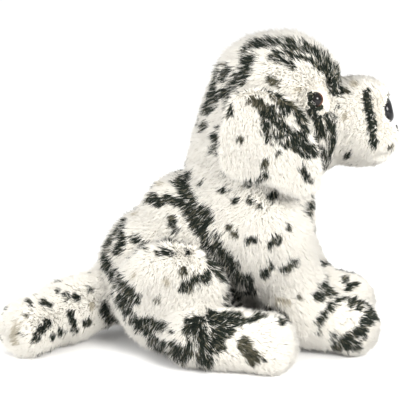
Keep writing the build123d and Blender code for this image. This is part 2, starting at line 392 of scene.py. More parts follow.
def body_mesh(body):
    fn = lambda P: skin(body, P)
    Vt, T = nets(fn, FORMS[body][1], STEP)
    for _ in range(2):
        g, s = grad(fn, Vt)
        Vt = Vt - g * (fn(Vt) / np.maximum(s, 0.5))[:, None]
    if FLARE[body]:
        fj = lambda P: skin_joined(body, P)
        other = np.full(len(Vt), 1e9)
        for o, k in FLARE[body]:
            other = np.minimum(other, skin(o, Vt))
        w = np.clip((other + 5.0) / 5.0, 0, 1)
        w = w * w * (3 - 2 * w)
        P = Vt.copy()
        for _ in range(3):
            g, s = grad(fj, P)
            P = P - g * np.clip(fj(P) / np.maximum(s, 0.5), -4, 4)[:, None]
        Vt = Vt + (P - Vt) * w[:, None]
    if not outward(fn, Vt, T):
        T = T[:, ::-1].copy()
    return Vt, T


# ------------------------------------------------------------------ panels
def side(P, a, b):
    return np.where(P[:, 1] > 0, a, b)


def panel_of(body, C):
    if body == "torso":
        r = side(C, "torso_side_left", "torso_side_right").astype(object)
        belly = (np.abs(C[:, 1]) < 20) & (C[:, 2] < 92) & (C[:, 0] > -40)
        r[belly] = "belly_panel"
        return r
    if body == "head":
        r = side(C, "head_side_left", "head_side_right").astype(object)
        r[(np.abs(C[:, 1]) < 16) & (C[:, 2] > 214)] = "head_gusset"
        return r
    if body.startswith("front_leg") or body.startswith("hind_leg"):
        tag = body.rsplit("_", 1)[1]
        y = 39.0 if body.startswith("front") else 78.0
        out = np.abs(C[:, 1]) > y
        base = body[: -len(tag) - 1]
        return np.where(out, f"{base}_outer_{tag}", f"{base}_inner_{tag}").astype(object)
    if body.startswith("ear"):
        tag = body[4:]
        s = 1 if tag == "left" else -1
        m = ear_mid(C[:, 0], C[:, 2], s)
        return np.where(C[:, 1] * s > m, f"ear_outer_{tag}", f"ear_inner_{tag}").astype(object)
    if body == "tail":
        a, b = V(-88, -2, 0), V(-151, -67, 0)
        d = (b - a)[:2]; d = d / np.linalg.norm(d)
        s = (C[:, 0] - a[0]) * d[1] - (C[:, 1] - a[1]) * d[0]
        return np.where(s < 0, "tail_right", "tail_left").astype(object)


# ------------------------------------------------------------------ camera
W_PX, DIST, AZ, EL = 0.94, 1200.0, math.radians(4.5), math.radians(13.0)
cam_r = np.array([math.cos(AZ), math.sin(AZ), 0.0])
cam_d = np.array([-math.sin(AZ) * math.cos(EL), math.cos(AZ) * math.cos(EL), -math.sin(EL)])
cam_u = np.cross(cam_r, cam_d)
cam_t = V(1.0, 0, 138 * W_PX / math.cos(EL))
cam_c = cam_t - cam_d * DIST
FOC = DIST / W_PX


def to_view(P):
    q = P - cam_c
    dep = q @ cam_d
    return np.stack([200 + (q @ cam_r) / dep * FOC, 200 - (q @ cam_u) / dep * FOC], 1)


# ------------------------------------------------------------------ markings
# Each mark is a stroke: a list of points in the side view, and a half width.
# tone 0 is black, 1 is olive-brown, 2 a faint olive.
MARKS = {
    "tail": [
        ([(28.6, 302)], 3, 0), ([(44, 303), (49, 304.5)], 4, 0), ([(57.6, 291.5)], 3, 0), ([(67, 296)], 5, 0),
        ([(76, 297)], 4, 0), ([(92, 305)], 3, 2), ([(70.5, 315), (75, 330)], 4, 0), ([(47, 323), (35, 340)], 4.5, 0),
        ([(16, 324), (14.7, 342)], 3, 2), ([(61.6, 333)], 3.5, 0), ([(52.7, 337.5)], 3, 0),
        ([(53.6, 352.7), (64, 349), (71, 347)], 3, 0), ([(101, 333), (110, 330), (119.6, 324)], 4, 0),
        ([(108, 300), (107, 312.5), (113, 321)], 6, 0), ([(102.7, 277), (106, 284)], 3, 0),
        ([(26, 316)], 2.5, 1), ([(88, 322)], 3.5, 0), ([(90, 290)], 3, 0), ([(20, 334)], 2.5, 0)],
    "rump": [
        ([(120.6, 221), (113, 231), (106.6, 243), (103, 254), (108, 268), (115.5, 277)], 5.5, 0),
        ([(122, 235), (120.6, 244), (117, 254)], 4, 0), ([(115.5, 277), (123, 289), (134.6, 298)], 7, 0),
        ([(120.6, 300), (127, 310.5), (137, 324.5), (147, 331)], 6, 0), ([(147, 321), (160, 327)], 6, 0),
        ([(154, 342), (166.5, 350), (187, 351)], 7, 0), ([(171.6, 332)], 2, 0),
        ([(192, 324.5), (198, 338.6), (205, 351)], 10, 0), ([(212, 318), (229, 318), (228, 331), (211, 341)], 7, 0),
        ([(157.6, 301.6)], 4, 1), ([(166.5, 282.4)], 3, 2), ([(133.4, 276)], 3.5, 2), ([(183, 272)], 5, 1),
        ([(184, 287.6), (194.6, 282.4), (207, 278.6)], 6, 0), ([(187, 252)], 3, 0),
        ([(159, 252), (171.6, 252)], 4, 0), ([(141, 245.5), (146, 248)], 2.5, 0), ([(134, 239)], 5, 0),
        ([(171.6, 221), (175.5, 231)], 4, 0), ([(169, 217)], 4, 1),
        ([(143.6, 193), (141, 198)], 5, 0), ([(147, 197), (159, 203)], 6, 0), ([(134.6, 213.6)], 3, 2),
        ([(159, 183)], 3, 2), ([(178, 171.5), (187, 175)], 4, 0), ([(179, 182), (184, 192), (191, 203)], 7, 0),
        ([(166.5, 197), (179, 203), (187, 211)], 5, 0),
        ([(187, 211), (198, 226), (205, 241.6), (214, 262), (224, 275)], 7, 0),
        ([(212, 239), (224, 257), (234, 266)], 6, 0), ([(243, 287.6), (230, 300)], 8, 0),
        ([(197.7, 325.6), (202, 345), (204, 361)], 10, 0), ([(172, 349), (182.5, 356)], 8, 0),
        ([(215, 340.7), (226, 325.6), (233.5, 318)], 9, 0), ([(219.4, 349.4)], 7, 0),
        ([(240, 321), (253, 319), (267, 310.4), (278, 312.5), (283.4, 320)], 4.5, 0),
        ([(245.4, 344), (245.4, 349.4), (254, 358)], 7, 1), ([(262.8, 360)], 2.5, 0),
        ([(200, 184)], 3, 0), ([(223.5, 173)], 3, 0), ([(223.5, 190.5)], 4.5, 0), ([(235.4, 201)], 4.5, 0),
        ([(249, 200)], 4, 0), ([(259, 206)], 3.5, 0), ([(272.6, 195.4)], 5.5, 0), ([(277, 187), (281, 189)], 2.5, 0),
        ([(247.4, 184)], 4, 0), ([(297, 197)], 2.5, 0), ([(305, 197)], 2, 0), ([(312, 204), (309.8, 212)], 5, 0),
        ([(289, 227)], 3.5, 0), ([(202, 211), (206.7, 219)], 6.5, 0), ([(228, 228), (234, 235)], 3, 1),
        ([(250.5, 240)], 5, 0), ([(278, 240), (270.5, 245)], 4.5, 0), ([(271, 268), (264, 274)], 4.5, 0),
        ([(293.7, 264), (284, 271)], 4.5, 0), ([(299, 297)], 3, 1), ([(278, 301), (286.6, 303)], 3, 2),
        ([(319, 170), (317, 180)], 3, 0), ([(315, 190), (314, 196)], 2.6, 0),
        ([(226, 264), (236, 277), (243, 290)], 7, 0), ([(238, 298), (229, 304)], 6, 0), ([(247, 279), (250, 291)], 6, 0),
        ([(328.7, 284), (319, 296.5)], 6, 0), ([(331.5, 292)], 6, 0),
        ([(345.6, 298), (331.5, 305), (323, 314.7), (320, 321.7)], 4, 0),
        ([(352.6, 303.5), (366.6, 306), (372, 314.7)], 7, 0),
        ([(368, 321.7), (361, 331.5), (345.6, 340), (335.7, 345.6)], 6, 0), ([(348.4, 347), (356.8, 347)], 5, 0),
        ([(320, 331.5)], 3.5, 0), ([(334, 335.7)], 4, 0)],
    "far": [
        ([(320, 263), (334, 263), (352.6, 267)], 3, 0), ([(320, 264)], 4, 0), ([(324, 275), (324.5, 281)], 3, 0),
        ([(345.6, 279.6), (348.4, 288), (355.4, 284)], 4, 0)],
    "head": [
        ([(243, 53), (251, 46), (262.6, 43), (280, 41)], 4.5, 0),
        ([(282, 42), (299, 45), (317, 52), (327, 62), (333, 73), (336, 84)], 6, 0),
        ([(276, 53), (288, 52), (302, 57), (316, 64), (327, 73)], 3.6, 0),
        ([(272.6, 59), (282.4, 60.5), (292, 64.7)], 5, 0),
        ([(252.8, 56), (245.7, 61.7), (247, 71.6), (237, 77), (230, 87), (219, 95.4), (209, 106.6), (205, 110.8)], 5, 0),
        ([(217.7, 64.5), (215, 78.6), (212, 95.4)], 3.5, 0), ([(226, 67), (222, 78.6)], 4, 0),
        ([(205, 94), (205, 109.4)], 3, 0), ([(243, 83)], 4, 0), ([(226, 92.6), (227.5, 106.6)], 4, 0),
        ([(233, 101), (230, 119)], 2.5, 2), ([(205, 123.5), (201, 129)], 3, 0), ([(219, 127.7)], 3, 0),
        ([(215, 136), (217.7, 143)], 5, 0), ([(213.5, 148.7), (220.5, 155.7)], 5, 0),
        ([(224.7, 158.6), (234.5, 154.3)], 4, 0), ([(208, 158.6)], 2.5, 0), ([(196.6, 165.6)], 2.5, 0),
        ([(268, 78.6), (276.6, 82.8)], 4, 1), ([(297.7, 89.8)], 3, 2), ([(334, 70), (333, 83), (335.7, 90)], 7, 0),
        ([(310.5, 101)], 4, 0), ([(320, 108)], 4, 0), ([(331.5, 119), (331.5, 132), (328.7, 147.5), (323, 163)], 6.5, 0),
        ([(319, 126.5)], 4, 0), ([(311, 113), (318, 121), (321, 133)], 4.5, 0), ([(312, 138), (319, 147)], 4.5, 0),
        ([(311, 94), (310, 103), (315, 109), (320, 109)], 3, 0), ([(354, 84)], 3.5, 2), ([(347, 91.4)], 3.5, 1), ([(338.5, 106.8)], 3, 0),
        ([(344, 116.6)], 4, 2), ([(347, 155)], 3.5, 0),
        ([(365, 93), (367, 104), (370.5, 117), (372.5, 131), (374, 143)], 4.6, 0),
        ([(388, 149), (392, 148)], 1.6, 1)],
    "ear": [
        # painted shade: the first black stroke, (251, 80) to (289, 104), is the shadow line in the crease where the
        # ear meets the head, drawn as black pile
        ([(251, 80), (274, 92.6), (289, 104)], 2.5, 0), ([(251, 101), (262, 105), (270, 112)], 5, 1),
        ([(265.4, 112), (269.6, 122), (265.4, 130.5)], 6, 0), ([(286.6, 108), (278, 116.6), (270, 111)], 7, 0),
        ([(296.5, 114), (305, 111), (309, 122), (310.5, 132)], 4, 0),
        ([(278, 132), (286.6, 143), (300.7, 146), (314.7, 151.7)], 6.5, 0), ([(266.8, 136), (272.4, 144.5)], 1.8, 0),
        ([(279.4, 151.5)], 1.8, 0), ([(276.6, 155.7)], 1.8, 0), ([(264, 165.6)], 5, 1),
        ([(274, 121), (289, 131), (304, 138)], 4.5, 0), ([(300, 119), (306, 129)], 4.5, 0),
        ([(272, 98), (285, 104), (296, 108)], 4, 1), ([(296, 150), (308, 156)], 4, 0),
        ([(257, 181), (266.8, 176.8)], 3.5, 0), ([(245.7, 184), (251.4, 185)], 4, 0),
        ([(302.3, 171), (308.8, 179)], 3.5, 0), ([(228, 108), (230, 116)], 3, 0), ([(240, 140)], 3, 1)],
}
MARK_SET = {"tail": ["tail"], "torso": ["rump"], "head": ["head"], "hind_leg_right": ["rump"],
            "front_leg_right": ["rump"], "hind_leg_left": ["rump"], "front_leg_left": ["far"],
            "ear_left": ["ear"], "ear_right": ["ear"]}


def stroke_field(px, strokes):
    """Smallest (distance - half width) over the strokes, and the tone of the nearest."""
    best = np.full(len(px), 1e9)
    tone = np.zeros(len(px), int)
    wide = np.zeros(len(px))
    for pts, r, tn in strokes:
        pts = np.array(pts, float)
        d = np.full(len(px), 1e9)
        if len(pts) == 1:
            d = np.linalg.norm(px - pts[0], axis=1)
        for a, b in zip(pts[:-1], pts[1:]):
            e = b - a
            w = px - a
            t = np.clip((w @ e) / (e @ e), 0, 1)
            d = np.minimum(d, np.linalg.norm(w - t[:, None] * e, axis=1))
        d = d - r
        m = d < best
        best = np.where(m, d, best)
        tone = np.where(m, tn, tone)
        wide = np.where(m, r, wide)
    return best, tone, wide


# scattered spots for the faces that the side view doesn't show
def scatter_spots(seed, count, box):
    r = np.random.default_rng(seed)
    lo, hi = np.array(box[::2], float), np.array(box[1::2], float)
    lo[0] += X0; hi[0] += X0
    c = lo + r.random((count, 3)) * (hi - lo)
    rad = 2.6 + 5.2 * r.random(count) ** 1.8
    tn = (r.random(count) < 0.18).astype(int)
    return c, rad, tn


def spots_on(body, Vt):
    """Spots centred on surface points, evenly spread."""
    r = np.random.default_rng(sum(map(ord, body)) * 13)
    gap = 21.0 if not body.startswith("ear") else 17.0
    order = r.permutation(len(Vt))
    kept = []
    for i in order[:4000]:
        p = Vt[i]
        if all((p[0] - q[0]) ** 2 + (p[1] - q[1]) ** 2 + (p[2] - q[2]) ** 2 > (gap * (0.75 + 0.5 * ((i * 7919) % 97) / 97)) ** 2
               for q in kept):
            kept.append(p)
    kept = np.array(kept)
    rad = 3.0 + 4.4 * r.random(len(kept)) ** 1.6
    tone = (r.random(len(kept)) < 0.15).astype(int)
    return kept, rad, tone


def mark(body, P, N, T, spots):
    """Darkness field at roots P: value < 0 is marked; plus tone."""
    near = P.copy()
    q = P.copy()
    strokes = [s for g in MARK_SET[body] for s in MARKS[g]]
    view = -(N @ cam_d)
    px = to_view(P)
    jag = vnoise(P, 3.2, 3) * 1.3 + vnoise(P, 1.3, 9) * 0.6
    d1, t1, r1 = stroke_field(px, strokes)
    if body in ("front_leg_left",):
        wn = np.clip((view - 0.0) / 0.3, 0, 1)
    else:
        wn = np.clip((view - 0.12) / 0.2, 0, 1)
    # the other side takes the same layout, turned over and moved
    M = P.copy()
    M[:, 1] *= -1
    M[:, 0] += 9.0 * vnoise(P, 60, 21) + 5
    M[:, 2] += 9.0 * vnoise(P, 60, 33) - 3
    NM = N.copy(); NM[:, 1] *= -1
    viewm = -(NM @ cam_d)
    ms = [s for g in (["rump"] if body == "front_leg_left" else MARK_SET[body]) for s in MARKS[g]]
    d2, t2, r2 = stroke_field(to_view(M), ms)
    wm = np.clip((viewm - 0.15) / 0.2, 0, 1)
    if body == "tail":
        wm = wm * 0
    c, rad, tn = spots
    kd = KDTree(len(c))
    for i, p in enumerate(c):
        kd.insert(p, i)
    kd.balance()
    d3 = np.empty(len(P)); t3 = np.zeros(len(P), int)
    Q = P + np.stack([vnoise(P, 9, 1), vnoise(P, 9, 2), vnoise(P, 9, 3)], 1) * 2.2
    for i in range(len(P)):
        _, j, dist = kd.find(Q[i])
        d3[i] = dist - rad[j]
        t3[i] = tn[j]
    d = np.where(wn > 0.5, d1, np.where(wm > 0.5, d2 * 1.0, d3))
    t = np.where(wn > 0.5, t1, np.where(wm > 0.5, t2, t3))
    wide = np.where(wn > 0.5, r1, np.where(wm > 0.5, r2, 3.0))
    return d + jag, t, wide


# ------------------------------------------------------------------ fur direction
def flow(body, P, N):
    F = np.zeros_like(P)
    if body == "head":
        nose = V(172, 0, 219)
        F = P - nose
        F = F / np.linalg.norm(F, axis=1)[:, None]
        F[:, 2] -= 0.25 + 0.5 * np.clip((np.abs(P[:, 1]) - 15) / 40, 0, 1)
        F[:, 0] -= 0.2
    elif body == "torso":
        F[:] = (-0.35, 0, -0.95)
        up = np.clip((P[:, 2] - 70) / 100, 0, 1)
        F[:, 0] -= 0.35 * up
        front = np.clip((P[:, 0] - 60) / 40, 0, 1)
        F[:, 0] += 0.35 * front
        F[:, 1] += 0.12 * np.sign(P[:, 1])
    elif body.startswith("front_leg"):
        a, b = V(60, 0, 110), V(95, 0, 50)
        t = np.clip(((P - a) @ (b - a)) / ((b - a) @ (b - a)), 0, 1.4)
        F[:, 0] = 0.15 + 0.85 * np.clip(t - 0.35, 0, 1)
        F[:, 2] = -1.0 + 0.55 * np.clip(t - 0.6, 0, 1)
    elif body.startswith("hind_leg"):
        foot = np.clip((P[:, 0] - (-5 + X0)) / 30, 0, 1) * np.clip((62 - P[:, 2]) / 25, 0, 1)
        F[:, 0] = -0.25 + 1.25 * foot
        F[:, 2] = -0.9 + 0.75 * foot
    elif body == "tail":
        a, m, b = V(-84, -1, 42), V(-122, -30, 32), V(-151, -67, 27)
        t = np.clip((-(P[:, 0] - X0) - 84) / 60, 0, 1)[:, None]
        F = (m - a) / np.linalg.norm(m - a) * (1 - t) + (b - m) / np.linalg.norm(b - m) * t
        F[:, 2] -= 0.1
    else:
        F[:] = (0.12, 0, -1.0)
        F[:, 1] = 0.15 * np.sign(P[:, 1])
    w = np.stack([vnoise(P, 26, 41), vnoise(P, 26, 52), vnoise(P, 26, 63)], 1) * 0.34
    w += np.stack([vnoise(P, 9, 44), vnoise(P, 9, 55), vnoise(P, 9, 66)], 1) * 0.22
    F = F + w
    F = F - (F * N).sum(1)[:, None] * N
    return F / np.maximum(np.linalg.norm(F, axis=1), 1e-6)[:, None]


def length_of(body, P):
    L = np.full(len(P), 8.6)
    if body == "head":
        d = np.linalg.norm(P - V(168, 0, 214), axis=1)
        L = 3.6 + 5.2 * np.clip((d - 12) / 50, 0, 1)
        for s in (1, -1):
            e = np.linalg.norm(P - V(115.5, s * 50, 238), axis=1)
            L = np.minimum(L, 1.3 + 7.5 * np.clip((e - 8.5) / 13, 0, 1))
    elif body.startswith("ear"):
        L = np.full(len(P), 7.0)
    elif body.startswith("front_leg"):
        L = 8.4 - 1.8 * np.clip((P[:, 0] - 110) / 40, 0, 1)
    elif body.startswith("hind_leg"):
        L = 8.6 - 1.8 * np.clip((P[:, 0] - 30) / 40, 0, 1)
    return L


# ------------------------------------------------------------------ mesh helpers
def new_mesh(name, verts, tris, uv, mat, smooth=True):
    me = bpy.data.meshes.new(name)
    me.vertices.add(len(verts))
    me.vertices.foreach_set("co", (verts * 0.001).astype(np.float32).ravel())
    me.loops.add(len(tris) * 3)
    me.loops.foreach_set("vertex_index", tris.astype(np.int32).ravel())
    me.polygons.add(len(tris))
    me.polygons.foreach_set("loop_start", np.arange(0, len(tris) * 3, 3, dtype=np.int32))
    me.update(calc_edges=True)
    if uv is not None:
        lay = me.uv_layers.new(name="OFBake")
        lay.data.foreach_set("uv", uv.astype(np.float32).ravel())
    me.polygons.foreach_set("use_smooth", np.full(len(tris), smooth))
    me.materials.append(mat)
    ob = bpy.data.objects.new(name, me)
    bpy.context.scene.collection.objects.link(ob)
    return ob


def close_shell(Vt, T, N, thick):
    """Closed thin panel: outer faces, inner faces and the rim between them."""
    used = np.unique(T)
    remap = -np.ones(len(Vt), int); remap[used] = np.arange(len(used))
    t = remap[T]
    vo = Vt[used]
    vi = vo - N[used] * thick
    n = len(used)
    e = np.concatenate([t[:, [0, 1]], t[:, [1, 2]], t[:, [2, 0]]])
    key = e.min(1) * (n + 1) + e.max(1)
    u, inv, cnt = np.unique(key, return_inverse=True, return_counts=True)
    be = e[cnt[inv] == 1]
    rim = np.concatenate([np.stack([be[:, 1], be[:, 0], be[:, 0] + n], 1),
                          np.stack([be[:, 1], be[:, 0] + n, be[:, 1] + n], 1)])
    tris = np.concatenate([t, t[:, ::-1] + n, rim])
    return np.concatenate([vo, vi]), tris, len(t)


# ------------------------------------------------------------------ materials
def ramp(nt, stops, interp="LINEAR"):
    n = nt.nodes.new("ShaderNodeValToRGB")
    n.color_ramp.interpolation = interp
    el = n.color_ramp.elements
    el[0].position, el[0].color = stops[0][0], (*stops[0][1], 1)
    el[1].position, el[1].color = stops[-1][0], (*stops[-1][1], 1)
    for p, c in stops[1:-1]:
        x = el.new(p)
        x.color = (*c, 1)
    return n


def pile_material(name):
    m = bpy.data.materials.new(name)
    m.use_nodes = True
    nt = m.node_tree
    b = nt.nodes["Principled BSDF"]
    uv = nt.nodes.new("ShaderNodeUVMap"); uv.uv_map = "OFBake"
    sep = nt.nodes.new("ShaderNodeSeparateXYZ")
    nt.links.new(uv.outputs["UV"], sep.inputs[0])
    tone = ramp(nt, [(0.0, (0.006, 0.009, 0.007)), (0.10, (0.014, 0.021, 0.016)), (0.22, (0.05, 0.06, 0.045)),
                     (0.32, (0.13, 0.115, 0.075)), (0.42, (0.32, 0.29, 0.21)), (0.52, (0.58, 0.53, 0.43)),
                     (0.64, (0.80, 0.745, 0.65)), (0.80, (0.868, 0.84, 0.78)), (1.0, (0.902, 0.88, 0.828))])
    nt.links.new(sep.outputs["X"], tone.inputs["Fac"])
    # painted shade: the along ramp darkens each strand towards its root, and the backing under it, standing in for
    # the shade deep in the pile; the tone ramp above is the fabric's own colour
    along = ramp(nt, [(0.0, (0.86, 0.845, 0.81)), (0.35, (0.95, 0.945, 0.93)), (1.0, (1.0, 1.0, 1.0))])
    nt.links.new(sep.outputs["Y"], along.inputs["Fac"])
    mix = nt.nodes.new("ShaderNodeMix")
    mix.data_type = "RGBA"; mix.blend_type = "MULTIPLY"
    mix.inputs["Factor"].default_value = 1.0
    nt.links.new(tone.outputs["Color"], mix.inputs["A"])
    nt.links.new(along.outputs["Color"], mix.inputs["B"])
    nt.links.new(mix.outputs["Result"], b.inputs["Base Color"])
    b.inputs["Roughness"].default_value = 0.62
    b.inputs["Specular IOR Level"].default_value = 0.12
    b.inputs["Sheen Weight"].default_value = 0.03
    b.inputs["Sheen Roughness"].default_value = 0.5
    return m


PILE = pile_material("pile_fabric")


def tone_value(d, tone, r, wide, tuft, P):
    """u coordinate in the tone ramp for each strand."""
    d = d + tuft * 0.95
    # broad marks are broken up by pale streaks
    mott = vnoise(P, 6.5, 77) + 0.5 * vnoise(P, 2.6, 87) + 0.3 * tuft
    broken = np.clip((mott - 0.38) / 0.35, 0, 1) * np.clip((wide - 3.6) / 2.0, 0, 1)
    white = 0.86 + 0.14 * r.random(len(d))
    cream = r.random(len(d)) < 0.06
    white = np.where(cream, 0.72 + 0.12 * r.random(len(d)), white)
    black = 0.02 + 0.15 * r.random(len(d)) ** 1.2
    black = np.where(r.random(len(d)) < 0.08, 0.28 + 0.2 * r.random(len(d)), black)
    olive = 0.24 + 0.12 * r.random(len(d))
    faint = 0.42 + 0.16 * r.random(len(d))
    olive = np.where(r.random(len(d)) < 0.45, black, olive)
    dark = np.where(tone == 0, black, np.where(tone == 1, olive, faint))
    edge = np.clip(-d / 2.2, 0, 1)
    p = np.clip(0.5 - d / 1.9, 0, 1) * (1 - 0.55 * broken) * 0.97
    isdark = r.random(len(d)) < p
    # outer strands of a mark are a little paler
    dark = dark + (1 - edge) * 0.05 * r.random(len(d))
    return np.where(isdark, dark, white)


def hidden(body, P, depth):
    h = np.zeros(len(P), bool)
    for o in FORMS:
        if o == body or o.startswith("ear") or body.startswith("ear") and o != "head":
            continue
        h |= skin(o, P) < -depth
    return h


PANELS = {}
MESHES = {}
for body in FORMS:
    MESHES[body] = body_mesh(body)

for body, (Vt, T) in MESHES.items():
    fnj = (lambda P, b=body: skin_joined(b, P)) if FLARE[body] else (lambda P, b=body: skin(b, P))
    e1 = Vt[T[:, 1]] - Vt[T[:, 0]]; e2 = Vt[T[:, 2]] - Vt[T[:, 0]]
    fn_ = np.cross(e1, e2)
    area = np.linalg.norm(fn_, axis=1) / 2
    VN = np.zeros_like(Vt)
    for k in range(3):
        np.add.at(VN, T[:, k], fn_)
    VN /= np.maximum(np.linalg.norm(VN, axis=1), 1e-9)[:, None]
    C = Vt[T].mean(1)
    who = panel_of(body, C)
    hid = hidden(body, C, 5.0)
    spots = spots_on(body, Vt)
    for panel in sorted(set(who)):
        sel = who == panel
        t = T[sel]
        vv, tt, n_out = close_shell(Vt, t, VN, 1.4)
        vis = sel & ~hid & (area > 0)
        A = area[vis].sum()
        n = int(min(A * DENSITY, (PIECE_TRIS - len(tt)) / 4))
        r = np.random.default_rng(sum(map(ord, panel)))
        tv = T[vis]
        av = area[vis]
        cum = np.cumsum(av); cum /= cum[-1]
        pick = np.searchsorted(cum, (np.arange(n) + r.random(n)) / n)
        pick = np.minimum(pick, len(tv) - 1)
        b1, b2 = r.random(n), r.random(n)
        f = b1 + b2 > 1
        b1[f], b2[f] = 1 - b1[f], 1 - b2[f]
        b0 = 1 - b1 - b2
        tri = tv[pick]
        P = b0[:, None] * Vt[tri[:, 0]] + b1[:, None] * Vt[tri[:, 1]] + b2[:, None] * Vt[tri[:, 2]]
        N = b0[:, None] * VN[tri[:, 0]] + b1[:, None] * VN[tri[:, 1]] + b2[:, None] * VN[tri[:, 2]]
        N /= np.linalg.norm(N, axis=1)[:, None]
        Fd = flow(body, P, N)
        L = length_of(body, P) * (0.78 + 0.44 * r.random(n))
        lean = np.radians(54 + 6 * r.standard_normal(n) + 8 * vnoise(P, 12, 71))
        lean = np.clip(lean, 0.3, 1.3)
        if body == "head":                          # the pile stands up behind each eye
            w_ = np.linalg.norm(np.stack([P[:, 0] - (101 + X0), np.abs(P[:, 1]) - 54, P[:, 2] - 237], 1), axis=1)
            lean = lean * (0.25 + 0.75 * np.clip((w_ - 6) / 6, 0, 1))
        guard = r.random(n) < 0.14
        L = np.where(guard, L * (1.12 + 0.3 * r.random(n)), L)
        lean = np.where(guard, lean * 0.80, lean)
        yaw = 0.30 * r.standard_normal(n)
        S = np.cross(N, Fd)
        Tn = Fd * np.cos(yaw)[:, None] + S * np.sin(yaw)[:, None]
        D = N * np.cos(lean)[:, None] + Tn * np.sin(lean)[:, None]
        tip = P + D * L[:, None]
        # tufts: tips lean towards the tip of a nearby leading strand
        nc = max(8, int(A / 17.0))
        lead = r.choice(n, min(nc, n), replace=False)
        kd = KDTree(len(lead))
        for i, j in enumerate(lead):
            kd.insert(P[j], i)
        kd.balance()
        near = np.array([kd.find(p)[1] for p in P])
        Pm = 0.55 * P + 0.45 * P[lead][near] + D * (0.6 * L)[:, None]
        d, tn, wd = mark(body, Pm, N, Fd, spots)
        tuft = r.standard_normal(len(lead))[near]
        u = tone_value(d, tn, r, wd, tuft, P)
        pull = (0.30 + 0.35 * r.random(n))[:, None]
        off = tip[lead][near] - tip
        m = np.linalg.norm(off, axis=1)
        off *= np.minimum(1, 3.2 / np.maximum(m, 1e-6))[:, None]
        tip = tip + off * pull
        tip[:, 2] = np.maximum(tip[:, 2], 0.25)
        # three-sided closed strand: root triangle and tip
        wdt = (0.36 + 0.16 * r.random(n)) * 1.0
        ax = tip - P
        ax /= np.linalg.norm(ax, axis=1)[:, None]
        s1 = np.cross(ax, N); s1 /= np.maximum(np.linalg.norm(s1, axis=1), 1e-6)[:, None]
        s2 = np.cross(ax, s1)
        root = P - N * 0.35
        sv = np.empty((n, 4, 3))
        ph = r.random(n) * 2 * math.pi
        for k in range(3):
            a = ph + k * 2 * math.pi / 3
            sv[:, k] = root + (s1 * np.cos(a)[:, None] + s2 * np.sin(a)[:, None]) * wdt[:, None]
        sv[:, 3] = tip
        st = np.array([(0, 2, 1), (0, 1, 3), (1, 2, 3), (2, 0, 3)])
        base = len(vv)
        stri = (np.arange(n)[:, None, None] * 4 + st[None]) + base
        # check the winding of one strand, turn all if it faces inwards
        v0 = sv[0]
        vol = np.dot(np.cross(v0[1] - v0[0], v0[3] - v0[0]), v0[2] - v0[0])
        if vol > 0:
            stri = stri[:, :, ::-1]
        # uv
        # painted shade: v along the strand picks the along ramp, so the root corners are darker and the tip is full
        # bright
        along = np.array([0.06, 0.10, 0.08, 0.97])
        du = np.array([0.0, 0.006, 0.012, 0.006])
        suv = np.empty((n, 4, 2))
        suv[:, :, 0] = np.clip(u[:, None] + du[None], 0.001, 0.999)
        suv[:, :, 1] = along[None]
        buv_d, buv_t, _ = mark(body, C[sel], VN[T[sel][:, 0]], None, spots)
        bu = np.where(buv_d < 0, np.where(buv_t == 0, 0.12, np.where(buv_t == 1, 0.3, 0.5)), 0.82)
        buv = np.empty((len(tt), 3, 2))
        bb = np.full(len(tt), 0.80)
        bb[: n_out] = bu
        bb[n_out: 2 * n_out] = 0.7
        buv[:, :, 0] = np.clip(bb[:, None] + np.array([0.0, 0.004, 0.008])[None], 0, 1)
        # painted shade: the backing sits at the dark root end of the along ramp
        buv[:, :, 1] = np.array([0.02, 0.03, 0.025])[None]
        allv = np.concatenate([vv, sv.reshape(-1, 3)])
        allt = np.concatenate([tt, stri.reshape(-1, 3)])
        lu = suv.reshape(-1, 2)[(stri - base).reshape(-1, 3)]
        alluv = np.concatenate([buv, lu])
        ob = new_mesh("pile_" + panel, allv, allt, alluv.reshape(-1, 2), PILE)
        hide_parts(panel)
        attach(ob, body)
        PANELS[panel] = ob
        print(panel, "area", int(A), "strands", n, "tris", len(allt))


# ------------------------------------------------------------------ the filling inside each form
def filling(bodies, P):
    d = np.full(len(P), 1e9)
    for b in bodies:
        d = np.minimum(d, skin(b, P) + 2.2)
    return d + lumps(P, 0.45, 9, 5) + 0.45


def fill_piece(node, body, fibre):
    """A stuffed lump just inside the backing, kept clear of its neighbours and of the pins."""
    fn = lambda P: filling([body], P)
    if body == "torso":
        def fn(P):
            d = filling(["torso"], P)
            for o in ("head", "front_leg_left", "front_leg_right", "hind_leg_left", "hind_leg_right", "tail"):
                d = np.maximum(d, -(skin(o, P) - 0.8))
            return np.maximum(d, -(sph(P, V(-30, 0, 34), 25.6)))
    Vt, T = nets(fn, FORMS[body][1], 3.0)
    for _ in range(2):
        g, sl = grad(fn, Vt)
        Vt = Vt - g * np.clip(fn(Vt) / np.maximum(sl, 0.5), -2, 2)[:, None]
    if not outward(fn, Vt, T):
        T = T[:, ::-1].copy()
    ob = new_mesh("fill_" + node, Vt, T, None, fibre)
    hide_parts(node)
    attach(ob, body)
    return ob


# ------------------------------------------------------------------ hard parts: materials only
EYE_C = (106.8, 49.5, 237.0)
EYE_D = (0.74, 0.66, 0.14)


def find_node(node):
    ob = bpy.data.objects.get(node)
    if ob is None:
        for o in bpy.data.objects:
            if o.name.split(".")[0] == node:
                return o
    return ob


def set_material(node, mat):
    ob = find_node(node)
    if ob is None:
        print("no object for", node)
        return
    ob.data.materials.clear()
    ob.data.materials.append(mat)


